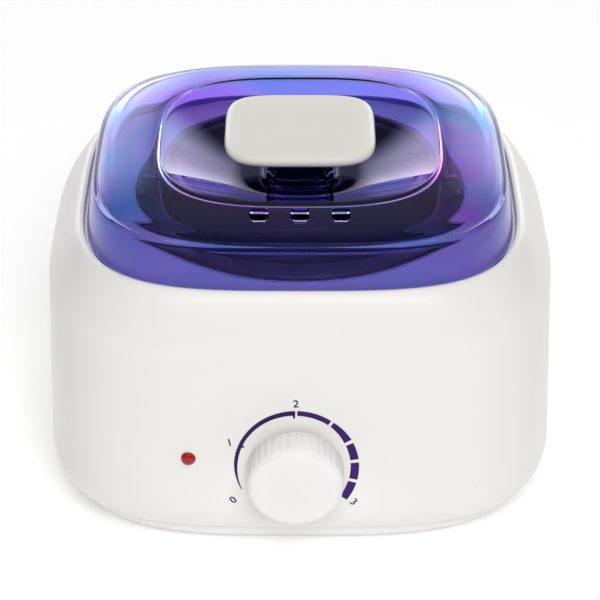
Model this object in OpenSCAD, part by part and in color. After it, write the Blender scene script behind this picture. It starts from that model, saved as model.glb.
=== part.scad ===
// Wax warmer pot: a heated, rounded-square housing with a lift-out wax pot, a tinted lift-off lid,
// a front thermostat dial and an indicator lamp. Millimetres, +Z up, the front faces -Y.
// The origin is under the middle of the whole object's footprint, on the surface that it stands on.

/* [Housing] */
// Widest width of the housing
body_w = 205; // [195:1:215]
// Front-to-back size of the housing as a share of its width
body_aspect = 0.885; // [0.88:0.005:0.9]
// Squareness of the housing's plan: 2 is an ellipse and higher is squarer
body_square = 3.5; // [3.4:0.1:3.6]
// Wall thickness of the housing
wall = 2.5; // [2:0.1:3]
// Height of the deck that the well and the lid sit on
deck_z = 112; // [112:0.5:114]
// Radius of the round opening in the deck
deck_hole_r = 60.5; // [60:0.25:61]

/* [Base] */
// Gap between the tray and the table
foot_proud = 1; // [0.6:0.1:1.2]
// Height of the seam between the tray and the housing
seam_z = 10; // [9:0.5:11]
// Radius of a rubber foot
foot_r = 7; // [5:0.5:8]

/* [Pot and well] */
// Inner radius of the wax pot
pot_r = 55; // [52:0.5:55]
// Sheet thickness of the pot and the well
sheet = 1.2; // [1:0.1:1.4]
// Inside depth of the wax pot
pot_depth = 58; // [50:1:58]
// Radius of the handle wire
wire_r = 1.4; // [1.2:0.1:1.5]

/* [Lid] */
// Half of the lid's width at the bottom of its skirt
lid_a = 83.6; // [83:0.1:83.8]
// Half of the lid's depth at the bottom of its skirt
lid_b = 74.2; // [73.4:0.1:74.2]
// Thickness of the lid
lid_t = 2.3; // [2:0.1:2.6]
// Height of the lid's upper edge
lid_edge_z = 131; // [130:0.5:132]
// Height of the rim of the finger bowl
bowl_rim_z = 137; // [136:0.5:137]
// Height of the floor of the finger bowl
bowl_floor_z = 121.3; // [121.3:0.1:123]
// Height of the top of the grip plate
grip_top_z = 142.6; // [141:0.2:143]

/* [Controls] */
// Height of the dial
dial_z = 42.8; // [42:0.2:46]
// Distance of the dial to the left of the middle
dial_left = 1.8; // [0:0.2:3]
// Outer radius of the dial knob
knob_r = 18.5; // [17:0.1:19]
// Number of finger flutes round the knob
knob_flutes = 36; // [24:1:40]
// Distance of the indicator lamp to the left of the middle
lamp_left = 42.7; // [39:0.1:46]
// Height of the indicator lamp
lamp_z = 46.2; // [44:0.2:48]

/* [Cord entry] */
// Bore radius of the cord gland
gland_bore_r = 3.3; // [3:0.1:3.6]

/* [Hidden] */

SIDES = 72;
fine = 96;
medium = 48;
small = 32;
eps = 0.01;

// Housing profile: half widths and the heights they are at.
belly_a = body_w / 2;
belly_z = 21;
seam_a = belly_a - 6.5;
shoulder_a = belly_a - 3.5;
shoulder_z = 95;
lip_a = belly_a - 15.7;
lip_z = 114.5;
lip_in_a = lip_a - 2.3;
shoulder_power = 1.65;
front_y = -body_aspect * (belly_a - 1.2);
back_y = body_aspect * belly_a;

// Base tray.
tray_floor = 2.5;
tray_a = seam_a - 5;
tray_floor_z = foot_proud + tray_floor;
tongue_z = seam_z + 2.5;
boss_x = 72;
boss_y = 56;
boss_top_z = 12;
screw_r = 1.45;
screw_hole_r = 1.5;

// Well and pot: the pot hangs by its flange on the well's flange.
well_r = pot_r + sheet + 1;
well_flange_r = 66;
well_top_z = deck_z + sheet;
pot_flange_r = 65;
pot_flange_z = well_top_z + 0.3;
pot_top_z = pot_flange_z + sheet;
pot_floor_z = pot_top_z - pot_depth;
well_floor_z = pot_floor_z - sheet - 0.6;
well_under_z = well_floor_z - sheet;
stud_r = 2;
strap_t = 1.2;
strap_z = 48;
strap_post_x = 72;

// Handle: its wire pivots in two lugs on the pot's flange and lies back over the flange.
lug_r = 2.6;
pivot_z = pot_top_z + lug_r;
bail_r = 57.5;
pin_r = 1.3;
lug_x = 60.2;
lug_t = 1.2;
lug_hole_r = pin_r + 0.08;

// Heater round the well's wall.
band_in_r = well_r + sheet + 0.1;
band_t = 1.8;
band_lo_z = 60;
band_hi_z = 88;
blanket_in_r = band_in_r + band_t + 0.2;
blanket_t = 2.8;
heater_tab_r = band_in_r + 0.9;
heater_tab_angle = 28;
heater_plug_z = band_lo_z - 3.5;
fuse_z = well_under_z - 2.1;

// Thermostat, on the inside of the front wall.
dial_x = -dial_left;
stat_w = 26;
stat_h = 22;
stat_front_y = front_y + 6.6;
stat_d = 14;
stat_tab_x = 7;
stat_tab_y = stat_front_y + 6;
stat_plug_z = dial_z - stat_h / 2 - 0.5;
shaft_r = 3;
bush_r = 4.2;
panel_flat_y = front_y + 0.6;
panel_boss_y = front_y + 4.6;

// Knob: open at the back, over the thermostat's nut, with a rounded edge in front of the flutes.
knob_back_y = front_y - 1.3;
knob_face_y = knob_back_y - 12.5;
knob_face_t = 2.5;
knob_wall = 2.4;
knob_round = 3.4;

// Indicator lamp: the wall is a little further back here than at the dial.
lamp_x = -lamp_left;
lamp_wall_y = front_y + 1.4;
lens_r = 2.8;
lens_neck_r = 2.5;
lens_seat_y = lamp_wall_y + 0.5;

// Cord gland, held in a notch over the seam.
gland_z = 16;
gland_neck_w = 10;
gland_back_y = back_y + 3.8;
gland_flange_y = (seam_a - wall) * body_aspect - 1;

// The knob reaches further forward than the gland reaches back, so the housing sits behind the origin.
body_y = -(knob_face_y + gland_back_y) / 2;

// Wiring: one pole each for live, neutral and earth.
block_y = 46;
block_depth = 12;
pole_x = [21, 31, 41];
pole_z = tray_floor_z + 6;
lead_gap = 0.4;
block_top_z = tray_floor_z + 13;
block_screw_x = 26;
lead_r = 1;
lamp_lead_r = 0.6;
fuse_y = 12;

// Lid sections: half width, half depth, squareness and height.
lid_seat_z = deck_z + 0.3;
edge_a = 79.6;
edge_b = 70.7;
bowl_a = 54.4;
bowl_b = 49;
floor_a = 23;
floor_b = 19;
dish_power = 1.4;
lid_square = 3.5;
edge_square = 3.4;
bowl_square = 3.1;
stem_a = 13;
stem_b = 8.5;
grip_a = 29.4;
grip_b = 26.2;
grip_square = 4.4;
grip_under_z = grip_top_z - 4.8;
vent_pitch = 15.2;
vent_w = 7;
vent_d = 6;
vent_y = -56.2;

white = "WhiteSmoke";
steel = "Silver";

// ---------------------------------------------------------------- shared shapes

// Superellipse outline with half width a, half depth b and squareness n, at height z.
function outline(a, b, n, z) = [
    for (i = [0 : SIDES - 1])
        let (t = 360 * i / SIDES, r = pow(pow(abs(cos(t)) / a, n) + pow(abs(sin(t)) / b, n), -1 / n))
        [r * cos(t), r * sin(t), z]
];

// Housing outline of half width a at height z.
function body_outline(a, z) = outline(a, a * body_aspect, body_square, z);

// Solid through a list of outlines. looped joins the last to the first, and otherwise both ends are capped.
module loft(rings, looped = false) {
    count = len(rings);
    steps = looped ? count : count - 1;
    sides = [
        for (k = [0 : steps - 1], i = [0 : SIDES - 1])
            let (next = (k + 1) % count, j = (i + 1) % SIDES)
            [k * SIDES + i, next * SIDES + i, next * SIDES + j, k * SIDES + j]
    ];
    caps = looped ? [] : [
        [for (i = [0 : SIDES - 1]) i],
        [for (i = [SIDES - 1 : -1 : 0]) (count - 1) * SIDES + i]
    ];
    polyhedron(points = [for (r = rings) each r], faces = concat(sides, caps), convexity = 12);
}

// Cylinder along Y from y0 to y1.
module cyl_y(r, y0, y1, x = 0, z = 0, segments = medium)
    translate([x, y1, z]) rotate([90, 0, 0]) cylinder(r = r, h = y1 - y0, $fn = segments);

// Cylinder along X from x0 to x1.
module cyl_x(r, x0, x1, y = 0, z = 0, segments = medium)
    translate([x0, y, z]) rotate([0, 90, 0]) cylinder(r = r, h = x1 - x0, $fn = segments);

// Upright cylinder from z0 to z1.
module cyl_z(r, z0, z1, x = 0, y = 0, segments = medium)
    translate([x, y, z0]) cylinder(r = r, h = z1 - z0, $fn = segments);

// Box from its lowest corner to its highest corner.
module span(lo, hi) translate(lo) cube(hi - lo);

// One child at each of the four corners.
module corners(x, y)
    for (sx = [-1, 1], sy = [-1, 1]) translate([sx * x, sy * y, 0]) children();

// Rectangle with rounded corners, centred.
module round_rect(w, d, r) {
    square([w - 2 * r, d], center = true);
    square([w, d - 2 * r], center = true);
    for (sx = [-1, 1], sy = [-1, 1])
        translate([sx * (w / 2 - r), sy * (d / 2 - r)]) circle(r = r, $fn = small);
}

// Pan-head screw, pointing up, with the underside of its head at z.
module screw_up(x, y, z, length, head_r = 2.8, head_h = 1.8) {
    cyl_z(screw_r, z - eps, z + length, x, y, small);
    difference() {
        cyl_z(head_r, z - head_h, z, x, y, small);
        translate([x, y, z - head_h]) for (turn = [0, 90])
            rotate([0, 0, turn]) cube([head_r * 1.2, 0.7, 1.6], center = true);
    }
}

// Smooth line through a list of points, with a few steps between each two.
function curve(p, steps = 4) = [
    for (i = [0 : len(p) - 2], s = [0 : steps - 1])
        let (t = s / steps, a = p[max(i - 1, 0)], b = p[i], c = p[i + 1], d = p[min(i + 2, len(p) - 1)])
        b + (c - a) * (t / 2) + (2 * a - 5 * b + 4 * c - d) * (t * t / 2)
            + (3 * b - a - 3 * c + d) * (t * t * t / 2),
    p[len(p) - 1]
];

// Direction of a line at its point i.
function heading(p, i) =
    let (d = p[min(i + 1, len(p) - 1)] - p[max(i - 1, 0)]) d / norm(d);

// Round wire of radius r along a line of points.
module wire(points, r) {
    sides = 8;
    line = curve(points);
    rings = [
        for (i = [0 : len(line) - 1])
            let (d = heading(line, i), u = cross(d, [0.31, 0.17, 0.94]), v = u / norm(u), w = cross(d, v))
            for (k = [0 : sides - 1]) line[i] + r * (v * cos(360 * k / sides) + w * sin(360 * k / sides))
    ];
    last = len(line) - 1;
    faces = concat(
        [for (i = [0 : last - 1], k = [0 : sides - 1]) let (j = (k + 1) % sides)
            [i * sides + k, (i + 1) * sides + k, (i + 1) * sides + j, i * sides + j]],
        [[for (k = [0 : sides - 1]) k], [for (k = [sides - 1 : -1 : 0]) last * sides + k]]
    );
    polyhedron(points = rings, faces = faces, convexity = 6);
}

// ---------------------------------------------------------------- housing and base

// Height and half width of the outer surface above the seam, at angle t of the lower rounding.
function belly(t, inset = 0) = [
    seam_a + (belly_a - seam_a) * sin(t) - inset,
    belly_z - (belly_z - seam_z) * cos(t)
];

// Shoulder between the wall and the lip, at angle t.
function shoulder(t, inset = 0, drop = 0) = [
    lip_a + (shoulder_a - lip_a) * pow(cos(t), shoulder_power) - inset,
    shoulder_z + (lip_z - shoulder_z) * pow(sin(t), shoulder_power) - drop
];

module housing_shell() color(white) {
    under_z = deck_z - wall;
    outside = concat(
        [for (t = [0 : 15 : 90]) belly(t)],
        [for (t = [0 : 12 : 84]) shoulder(t)],
        [[lip_a - 0.5, lip_z + 0.3], [lip_in_a + 0.6, lip_z]],
        [[lip_in_a + 0.1, lip_z - 0.8], [lip_in_a, deck_z]]
    );
    inside = concat(
        [for (t = [60 : -20 : 20]) shoulder(t, wall, wall)],
        [for (t = [90 : -30 : 0]) belly(t, wall)]
    );
    rings = concat(
        [for (p = outside) body_outline(p[0], p[1])],
        [outline(deck_hole_r, deck_hole_r, 2, deck_z), outline(deck_hole_r, deck_hole_r, 2, under_z)],
        [body_outline(lip_in_a - wall, under_z)],
        [for (p = inside) body_outline(p[0], p[1])]
    );
    difference() {
        union() {
            loft(rings, looped = true);
            corners(boss_x, boss_y) cyl_z(4.5, boss_top_z, under_z + 1);
            for (s = [-1, 1]) cyl_z(4.5, strap_z + strap_t, under_z + 1, s * strap_post_x, 0);
            cyl_y(10, front_y + 1.5, panel_boss_y, dial_x, dial_z);
        }
        corners(boss_x, boss_y) cyl_z(screw_hole_r, boss_top_z - 1, boss_top_z + 14, segments = small);
        for (s = [-1, 1])
            cyl_z(screw_hole_r, strap_z, strap_z + 12, s * strap_post_x, 0, small);
        cyl_y(8.5, front_y - 3, panel_flat_y, dial_x, dial_z);
        cyl_y(bush_r + 0.1, front_y - 5, panel_boss_y + 5, dial_x, dial_z);
        cyl_y(lens_r + 0.05, front_y - 5, lens_seat_y, lamp_x, lamp_z);
        cyl_y(lens_neck_r + 0.05, front_y - 5, front_y + 8, lamp_x, lamp_z);
        span([-gland_neck_w / 2 - 0.2, 75, seam_z - 1], [gland_neck_w / 2 + 0.2, back_y + 5, gland_z + 6]);
    }
}

module vent_slots() {
    slot_pitch = 9;
    for (s = [-1, 1], i = [-2 : 2])
        translate([s * 30, i * slot_pitch, 0]) linear_extrude(tray_floor_z + 2) round_rect(26, 3.4, 1.6);
}

module base_tray() color(white) {
    tongue_a = seam_a - wall - 0.5;
    rings = [
        for (p = [
            [tray_a - 1, foot_proud], [tray_a, foot_proud + 0.8], [seam_a, seam_z - 0.1],
            [tongue_a, seam_z - 0.1], [tongue_a, tongue_z], [tongue_a - 1.6, tongue_z],
            [tongue_a - 1.6, seam_z - 2], [tray_a - 2.6, tray_floor_z]
        ]) body_outline(p[0], p[1])
    ];
    difference() {
        union() {
            loft(rings);
            corners(boss_x, boss_y) cyl_z(5, tray_floor_z - 1, boss_top_z);
            for (s = [-1, 1]) cyl_z(3.6, tray_floor_z - 1, gland_z - gland_bore_r, s * 9.5, 64);
        }
        corners(boss_x, boss_y) cyl_z(screw_hole_r + 0.2, 0, boss_top_z + 1, segments = small);
        corners(boss_x, boss_y) cyl_z(3.6, 0, foot_proud + 3.2);
        for (s = [-1, 1]) cyl_z(screw_hole_r, 5, gland_z, s * 9.5, 64, small);
        corners(50, 62) cyl_z(foot_r + 0.1, 0, foot_proud + 1.2);
        cyl_z(
            screw_hole_r, tray_floor_z - 1.6, tray_floor_z + 1,
            block_screw_x, block_y + block_depth / 2, small
        );
        vent_slots();
        span([-9, 74, seam_z - 0.1], [9, back_y, tongue_z + 1]);
    }
}

module base_screws() color(steel)
    corners(boss_x, boss_y) screw_up(0, 0, foot_proud + 3.2, 20);

module rubber_feet() color("DimGray")
    corners(50, 62) rotate_extrude($fn = medium) polygon([
        [0, 0], [foot_r - 1, 0], [foot_r - 0.3, 0.3], [foot_r, 1],
        [foot_r, foot_proud + 1.2], [0, foot_proud + 1.2]
    ]);

// ---------------------------------------------------------------- well, pot and handle

// Section of a round sheet-metal cup with a flat flange: r is the inner radius.
module cup_section(r, top_z, floor_z, flange_r, corner) {
    arc = [for (t = [0 : 15 : 90]) [r - corner + corner * cos(t), floor_z + corner - corner * sin(t)]];
    outer = corner + sheet;
    arc_out = [for (t = [90 : -15 : 0]) [r - corner + outer * cos(t), floor_z + corner - outer * sin(t)]];
    polygon(concat(
        [[flange_r, top_z], [r + 1, top_z], [r, top_z - 1]], arc,
        [[0, floor_z], [0, floor_z - sheet]], arc_out,
        [[r + sheet, top_z - sheet], [flange_r, top_z - sheet]]
    ));
}

module heating_well() color(steel) {
    rotate_extrude($fn = fine) cup_section(well_r, well_top_z, well_floor_z, well_flange_r, 6);
    cyl_z(stud_r, strap_z - 5, well_under_z + 0.5, segments = small);
}

module well_strap() color("Gainsboro") difference() {
    union() {
        span([-strap_post_x - 6, -8, strap_z], [strap_post_x + 6, 8, strap_z + strap_t]);
        span([56.8, 7, strap_z], [63.2, 16, strap_z + 0.8]);
    }
    cyl_z(stud_r + 0.2, strap_z - 1, strap_z + 3, segments = small);
    for (s = [-1, 1]) cyl_z(screw_hole_r + 0.2, strap_z - 1, strap_z + 3, s * strap_post_x, 0, small);
}

module well_nut() color(steel) difference() {
    translate([0, 0, strap_z - 3.2]) cylinder(r = 4.04, h = 3.2, $fn = 6);
    cyl_z(stud_r + 0.05, strap_z - 5, strap_z + 1, segments = small);
}

module strap_screws() color(steel)
    for (s = [-1, 1]) screw_up(s * strap_post_x, 0, strap_z, 11);

module wax_pot() color("LightGray") difference() {
    rotate_extrude($fn = fine) cup_section(pot_r, pot_top_z, pot_floor_z, pot_flange_r, 7);
    rivet_places() cyl_z(1.15, pot_flange_z - 1, pot_top_z + 1, segments = small);
}

// One child at each of the four rivets through the pot's flange.
module rivet_places()
    for (sx = [-1, 1], sy = [-1, 1]) translate([sx * (lug_x + 2), sy * 6.3, 0]) children();

module pot_lugs() color(steel)
    difference() {
        for (s = [0, 180]) rotate([0, 0, s]) {
            span([lug_x, -lug_r, pot_top_z], [lug_x + lug_t, lug_r, pivot_z]);
            cyl_x(lug_r, lug_x, lug_x + lug_t, 0, pivot_z);
            span([lug_x, -9, pot_top_z], [lug_x + 4, 9, pot_top_z + 0.8]);
        }
        cyl_x(lug_hole_r, -lug_x - 5, lug_x + 5, 0, pivot_z, small);
        rivet_places() cyl_z(1.15, pot_flange_z - 1, pot_top_z + 2, segments = small);
    }

module pot_rivets() color(steel) rivet_places() {
    cyl_z(1.1, pot_flange_z, pot_top_z + 1, segments = small);
    translate([0, 0, pot_top_z + 0.8]) cylinder(r1 = 1.7, r2 = 1.1, h = 0.7, $fn = small);
}

module bail_handle() color(steel) {
    translate([0, 0, pivot_z])
        rotate_extrude(angle = 180, $fn = fine) translate([bail_r, 0]) circle(r = wire_r, $fn = small);
    for (s = [0, 180]) rotate([0, 0, s]) cyl_x(pin_r, bail_r - 0.8, lug_x + lug_t + 1.4, 0, pivot_z, small);
}

// ---------------------------------------------------------------- heater

module heater_band() color("DarkKhaki") difference() {
    union() {
        rotate_extrude($fn = fine)
            translate([band_in_r, band_lo_z]) square([band_t, band_hi_z - band_lo_z]);
        for (s = [-1, 1]) span([s * 4 - 0.9, band_in_r + 0.8, 68], [s * 4 + 0.9, band_in_r + 12, 80]);
    }
    span([-3.1, band_in_r - 5, band_lo_z - 1], [3.1, band_in_r + 5, band_hi_z + 1]);
    cyl_x(1.7, -8, 8, band_in_r + 8, 74, small);
}

module heater_clamp_bolt() color(steel) {
    clamp_y = band_in_r + 8;
    cyl_x(1.5, -7.9, 9, clamp_y, 74, small);
    cyl_x(2.8, -7.9, -5, clamp_y, 74, small);
    difference() {
        translate([5, clamp_y, 74]) rotate([0, 90, 0]) cylinder(r = 3.2, h = 2.4, $fn = 6);
        cyl_x(1.55, 4, 9, clamp_y, 74, small);
    }
}

module heater_blanket() color("Ivory") difference() {
    rotate_extrude($fn = fine)
        translate([blanket_in_r, band_lo_z - 3]) square([blanket_t, band_hi_z - band_lo_z + 6]);
    span([-11, blanket_in_r - 15, band_lo_z - 4], [11, blanket_in_r + 5, band_hi_z + 4]);
}

// One child at each of the heater's two push-on tabs, with +X pointing away from the well.
module heater_tab_places()
    for (t = [180 + heater_tab_angle, 360 - heater_tab_angle]) rotate([0, 0, t]) children();

module heater_terminals() color(steel) heater_tab_places() difference() {
    span([heater_tab_r - 0.4, -3.15, band_lo_z - 9], [heater_tab_r + 0.4, 3.15, band_lo_z]);
    cyl_x(0.8, band_in_r - 1, band_in_r + 3, 0, band_lo_z - 5.5, small);
}

// ---------------------------------------------------------------- thermostat and dial

// One child at each of the thermostat's two push-on tabs.
module stat_tab_places() for (s = [-1, 1]) translate([dial_x + s * stat_tab_x, stat_tab_y, 0]) children();

module thermostat_body() color("OldLace") difference() {
    translate([dial_x, stat_front_y, dial_z])
        span([-stat_w / 2, 0, -stat_h / 2], [stat_w / 2, stat_d, stat_h / 2]);
    cyl_y(shaft_r + 0.3, stat_front_y - 1, stat_front_y + 9, dial_x, dial_z);
    stat_tab_places() span([-3.3, -0.5, dial_z - 12], [3.3, 0.5, dial_z - 7]);
}

module thermostat_terminals() color(steel)
    stat_tab_places() span([-3.15, -0.4, dial_z - 17], [3.15, 0.4, dial_z - 7.1]);

module thermostat_bushing() color("Goldenrod") difference() {
    union() {
        cyl_y(bush_r, panel_flat_y - 3.8, stat_front_y, dial_x, dial_z);
        cyl_y(8, panel_boss_y, stat_front_y, dial_x, dial_z);
    }
    cyl_y(shaft_r + 0.05, front_y - 10, stat_front_y + 1, dial_x, dial_z);
}

module thermostat_nut() color(steel) difference() {
    translate([dial_x, panel_flat_y, dial_z]) rotate([90, 0, 0]) cylinder(r = 6.8, h = 2.5, $fn = 6);
    cyl_y(bush_r + 0.03, front_y - 10, front_y + 5, dial_x, dial_z);
}

module thermostat_shaft() color(steel) difference() {
    cyl_y(shaft_r, knob_face_y + knob_face_t + 0.2, stat_front_y + 8, dial_x, dial_z);
    span([dial_x - 4, knob_face_y, dial_z + 1.8], [dial_x + 4, panel_flat_y - 4, dial_z + 4]);
}

module dial_knob() color(white) {
    flute_r = 1.1;
    depth = knob_back_y - knob_face_y;
    cap_r = knob_r - 0.5;
    difference() {
        translate([dial_x, knob_back_y, dial_z]) rotate([90, 0, 0]) {
            linear_extrude(depth - knob_round) difference() {
                circle(r = knob_r, $fn = fine);
                for (i = [0 : knob_flutes - 1]) rotate(i * 360 / knob_flutes)
                    translate([knob_r + 0.55, 0]) circle(r = flute_r, $fn = 24);
            }
            rotate_extrude($fn = fine) polygon(concat([[0, 1], [cap_r, 1]], [
                for (t = [0 : 15 : 90])
                    [cap_r - knob_round * (1 - cos(t)), depth - knob_round * (1 - sin(t))]
            ], [[0, depth]]));
        }
        difference() {
            cyl_y(knob_r - knob_wall, knob_face_y + knob_face_t, knob_back_y + 1, dial_x, dial_z);
            cyl_y(5.6, knob_face_y, panel_flat_y - 4.3, dial_x, dial_z);
        }
        difference() {
            cyl_y(shaft_r + 0.03, knob_face_y + knob_face_t, knob_back_y, dial_x, dial_z);
            span([dial_x - 4, knob_face_y, dial_z + 1.83], [dial_x + 4, knob_back_y, dial_z + 4]);
        }
    }
}

// ---------------------------------------------------------------- indicator lamp

// The child stands at the lamp's seat in the wall, with +Z pointing out of the front.
module at_lamp() translate([lamp_x, lens_seat_y, lamp_z]) rotate([90, 0, 0]) children();

module indicator_lens() color("Red") at_lamp() rotate_extrude($fn = medium) polygon(concat(
    [for (t = [90 : -15 : 0]) [lens_r * cos(t), 0.9 + 1.7 * sin(t)]],
    [[lens_r, 0], [lens_neck_r, 0], [lens_neck_r, -7], [1.9, -7], [1.9, -0.4], [0, -0.4]]
));

module neon_lamp() color("MistyRose") at_lamp() {
    translate([0, 0, -11]) cylinder(r = 1.7, h = 10, $fn = small);
    translate([0, 0, -14]) cylinder(r = 1.4, h = 3.5, $fn = small);
}

module lamp_push_nut() color(steel) at_lamp() difference() {
    translate([0, 0, -3.4]) cylinder(r = 4.6, h = 0.6, $fn = medium);
    translate([0, 0, -4]) cylinder(r = lens_neck_r + 0.02, h = 2, $fn = medium);
}

// ---------------------------------------------------------------- cord entry and wiring

module cord_gland() color("DimGray") difference() {
    neck = gland_neck_w / 2;
    union() {
        span([-neck, gland_flange_y - 1, seam_z + 0.2], [neck, gland_back_y - 2, gland_z + 5.8]);
        cyl_y(8, gland_back_y - 3.2, gland_back_y, 0, gland_z);
        span([-7.5, gland_flange_y - 3, seam_z + 0.2], [7.5, gland_flange_y, gland_z + 7.5]);
    }
    cyl_y(gland_bore_r, 70, 100, 0, gland_z);
}

module cord_clamp() color(white) difference() {
    span([-13, 60.4, gland_z - gland_bore_r], [13, 67.6, gland_z + 6]);
    cyl_y(gland_bore_r + 0.2, 59, 69, 0, gland_z);
    span([-gland_bore_r - 0.2, 59, gland_z - 5], [gland_bore_r + 0.2, 69, gland_z]);
    for (s = [-1, 1]) cyl_z(screw_hole_r + 0.2, 5, 30, s * 9.5, 64, small);
}

module cord_clamp_screws() color(steel)
    for (s = [-1, 1]) translate([s * 9.5, 64, gland_z + 6]) rotate([180, 0, 0]) screw_up(0, 0, 0, 14);

module terminal_block() color("OldLace") difference() {
    mid_y = block_y + block_depth / 2;
    span([pole_x[0] - 5, block_y, tray_floor_z], [pole_x[2] + 5, block_y + block_depth, block_top_z]);
    for (x = pole_x) {
        cyl_y(2, block_y - 1, block_y + block_depth + 1, x, pole_z, small);
        cyl_z(1.9, pole_z, block_top_z + 1, x, mid_y, small);
    }
    cyl_z(screw_hole_r + 0.1, tray_floor_z - 1, block_top_z + 1, block_screw_x, mid_y, small);
}

module terminal_block_screw() color(steel)
    translate([block_screw_x, block_y + block_depth / 2, block_top_z])
        rotate([180, 0, 0]) screw_up(0, 0, 0, 14.4, 2.4);

module terminal_screws() color(steel) for (x = pole_x) difference() {
    cyl_z(1.8, pole_z + 2.4, pole_z + 6, x, block_y + block_depth / 2, small);
    span([x - 2, block_y + 5.7, pole_z + 5.2], [x + 2, block_y + 6.3, pole_z + 7]);
}

// Insulated sleeve pushed on a flat tab that points down: the tab's middle is at the origin's x and y.
module connector(top_z) difference() {
    span([-1.7, -4, top_z - 12], [1.7, 4, top_z]);
    span([-0.5, -3.25, top_z - 6], [0.5, 3.25, top_z + 1]);
}

module push_on_connectors() color("Ivory") {
    heater_tab_places() translate([heater_tab_r, 0, 0]) connector(heater_plug_z);
    stat_tab_places() rotate([0, 0, 90]) connector(stat_plug_z);
}

module live_lead() color("SaddleBrown") wire([
    [pole_x[0] + 0.6, block_y + 3.5, pole_z], [pole_x[0] + 0.6, 40, pole_z], [21, 22, 8], [18, 0, 7.5],
    [14, -30, 8], [9, -58, 8], [dial_x + stat_tab_x, -72, 10],
    [dial_x + stat_tab_x, stat_tab_y, stat_plug_z - 16],
    [dial_x + stat_tab_x, stat_tab_y, stat_plug_z - 12 - lead_gap]
], lead_r);

module neutral_lead() color("SteelBlue") wire([
    [-11.2, fuse_y, fuse_z], [-18, fuse_y, fuse_z - 1], [-24, 13, 45], [-22, 18, 32], [-8, 26, 20],
    [8, 32, 19], [21, 33, 17], [29, 36, 13], [pole_x[1] + 0.6, 41, pole_z + 0.5],
    [pole_x[1] + 0.6, block_y + 0.5, pole_z], [pole_x[1] + 0.6, block_y + 3.5, pole_z]
], lead_r);

module earth_lead() color("YellowGreen") wire([
    [pole_x[2], block_y + 3.5, pole_z], [pole_x[2], 41, 9.5], [46, 32, 14], [54, 26, 26], [59, 26, 38],
    [60, 22, 46], [60, 16.2, strap_z + 0.4]
], lead_r);

module heater_leads() color("Ivory") {
    x = heater_tab_r * cos(heater_tab_angle);
    y = -heater_tab_r * sin(heater_tab_angle);
    end_z = heater_plug_z - 12 - lead_gap;
    wire([
        [dial_x - stat_tab_x, stat_tab_y, stat_plug_z - 12 - lead_gap],
        [dial_x - stat_tab_x, stat_tab_y, stat_plug_z - 16],
        [-13, -71, 8], [-28, -58, 8], [-44, -42, 14], [-51, -32, 28], [-x, y, end_z - 5], [-x, y, end_z]
    ], lead_r);
    wire([
        [x, y, end_z], [x, y, end_z - 5], [50, -20, 32], [42, -4, 30], [32, 8, 36], [24, fuse_y, 45],
        [18, fuse_y, fuse_z - 1], [11.2, fuse_y, fuse_z]
    ], lead_r);
}

module lamp_leads() color("Crimson") {
    tail_y = lens_seat_y + 14 + lead_gap;
    for (s = [-1, 1]) wire(concat(
        [for (y = [tail_y, tail_y + 4]) [lamp_x + 0.75 * s, y, lamp_z]],
        [for (p = [[-41, -60, 37], [-38, -53, 25], [-32, -42, 14], [-20, -22, 7]]) p + [1.5 * s, -s, 0]],
        s < 0
            ? [[-6, 0, 6.5], [8, 26, 7], [17, 38, 9]]
            : [[-2, -4, 6.5], [10, 18, 8], [22, 28, 12.5], [27, 37, 10]],
        [for (y = [43, block_y + 3.5]) [pole_x[s < 0 ? 0 : 1] - 1.2, y, pole_z]]
    ), lamp_lead_r);
}

module thermal_fuse() color("Gainsboro") cyl_x(1.9, -11, 11, fuse_y, fuse_z, small);

module fuse_clip() color(steel) difference() {
    union() {
        cyl_x(2.5, -3, 3, fuse_y, fuse_z, small);
        span([-3, fuse_y, fuse_z + 1.5], [3, fuse_y + 10, well_under_z - 0.05]);
    }
    cyl_x(1.95, -4, 4, fuse_y, fuse_z, small);
    span([-4, 5, well_under_z - 0.05], [4, 30, well_under_z + 2]);
}

// ---------------------------------------------------------------- lid

// Step of the finger bowl in the lid: u is 0 at its rim and 1 at its floor, sunk goes into the material.
function dish(u, sunk = 0) =
    let (
        rim_a = bowl_a - 0.5,
        rim_b = bowl_b - 0.5,
        rise = bowl_rim_z - 0.4 - bowl_floor_z,
        slope = atan(dish_power * rise / (rim_a - floor_a) * pow(1 - u, dish_power - 1))
    ) [
        rim_a - (rim_a - floor_a) * u + sunk * sin(slope),
        rim_b - (rim_b - floor_b) * u + sunk * sin(slope),
        bowl_square - 0.4 * u,
        bowl_floor_z + rise * pow(1 - u, dish_power) - sunk * cos(slope)
    ];

// Steps of the lid's outer surface from the skirt's foot to the stem: [a, b, squareness, z].
lid_steps = concat(
    [[lid_a, lid_b, lid_square, lid_seat_z], [lid_a - 0.4, lid_b - 0.4, lid_square, 115.5]],
    [[edge_a + 1.3, edge_b + 1.3, edge_square, lid_edge_z - 2.2]],
    [[edge_a + 0.8, edge_b + 0.8, edge_square, lid_edge_z - 0.8]],
    [[edge_a, edge_b, edge_square, lid_edge_z], [edge_a - 1.4, edge_b - 1.3, edge_square, lid_edge_z + 0.6]],
    [for (u = [0.3, 0.65]) [
        edge_a + (bowl_a - edge_a) * u, edge_b + (bowl_b - edge_b) * u,
        edge_square + (bowl_square - edge_square) * u,
        lid_edge_z + (bowl_rim_z - lid_edge_z) * sin(90 * (0.1 + 0.84 * u))
    ]],
    [[bowl_a + 1.2, bowl_b + 1.2, bowl_square, bowl_rim_z - 0.15], [bowl_a, bowl_b, bowl_square, bowl_rim_z]],
    [for (u = [0 : 0.2 : 1]) dish(u)],
    [[stem_a + 1.8, stem_b + 1.8, 4, bowl_floor_z], [stem_a + 0.3, stem_b + 0.3, 5, bowl_floor_z + 1.6]],
    [[stem_a, stem_b, 5, grip_under_z + 1.8]]
);

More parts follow.
